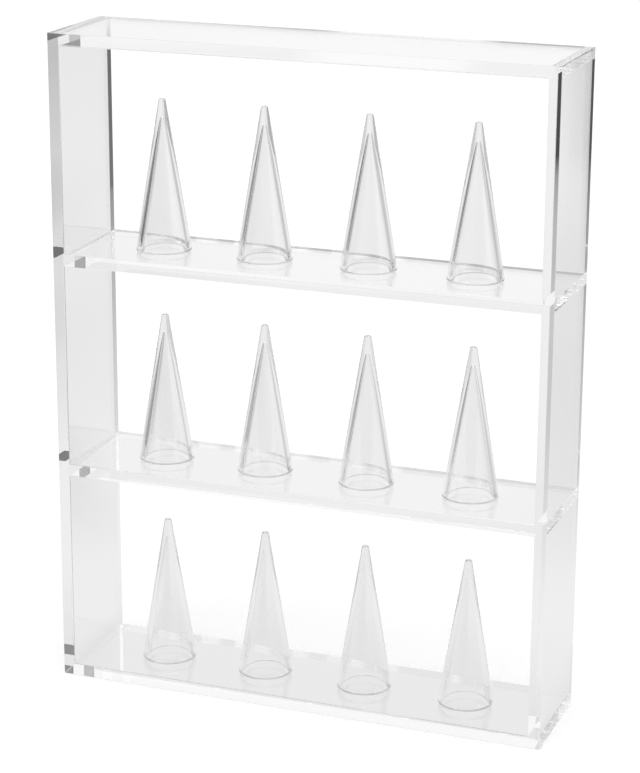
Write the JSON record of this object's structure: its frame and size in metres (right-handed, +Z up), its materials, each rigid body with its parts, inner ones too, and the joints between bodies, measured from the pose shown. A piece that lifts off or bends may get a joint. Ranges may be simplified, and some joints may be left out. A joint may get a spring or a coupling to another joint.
{
  "type": "ring display",
  "caption": "Clear open-backed frame with shelves of hollow upright cones that hold finger rings for display.",
  "frame": {"origin": "centre of the underside", "axes": "+Z up, +X to the right seen from the front, +Y to the back"},
  "size_m": [0.23, 0.0524, 0.3],
  "materials": {
    "clear_sheet": "polished clear acrylic sheet",
    "clear_cone": "clear moulded acrylic, glossy",
    "joint_cement": "dried clear cement with small bubbles"
  },
  "bodies": {
    "root": {"left_side_panel": "clear_sheet", "right_side_panel": "clear_sheet", "top_panel": "clear_sheet", "upper_shelf": "clear_sheet", "lower_shelf": "clear_sheet", "base_panel": "clear_sheet", "top_panel_left_cement": "joint_cement", "top_panel_right_cement": "joint_cement", "upper_shelf_left_cement": "joint_cement", "upper_shelf_right_cement": "joint_cement", "lower_shelf_left_cement": "joint_cement", "lower_shelf_right_cement": "joint_cement", "base_panel_left_cement": "joint_cement", "base_panel_right_cement": "joint_cement", "upper_ring_cone_1": "clear_cone", "upper_ring_cone_2": "clear_cone", "upper_ring_cone_3": "clear_cone", "upper_ring_cone_4": "clear_cone", "middle_ring_cone_1": "clear_cone", "middle_ring_cone_2": "clear_cone", "middle_ring_cone_3": "clear_cone", "middle_ring_cone_4": "clear_cone", "lower_ring_cone_1": "clear_cone", "lower_ring_cone_2": "clear_cone", "lower_ring_cone_3": "clear_cone", "lower_ring_cone_4": "clear_cone"}
  },
  "joints": []
}
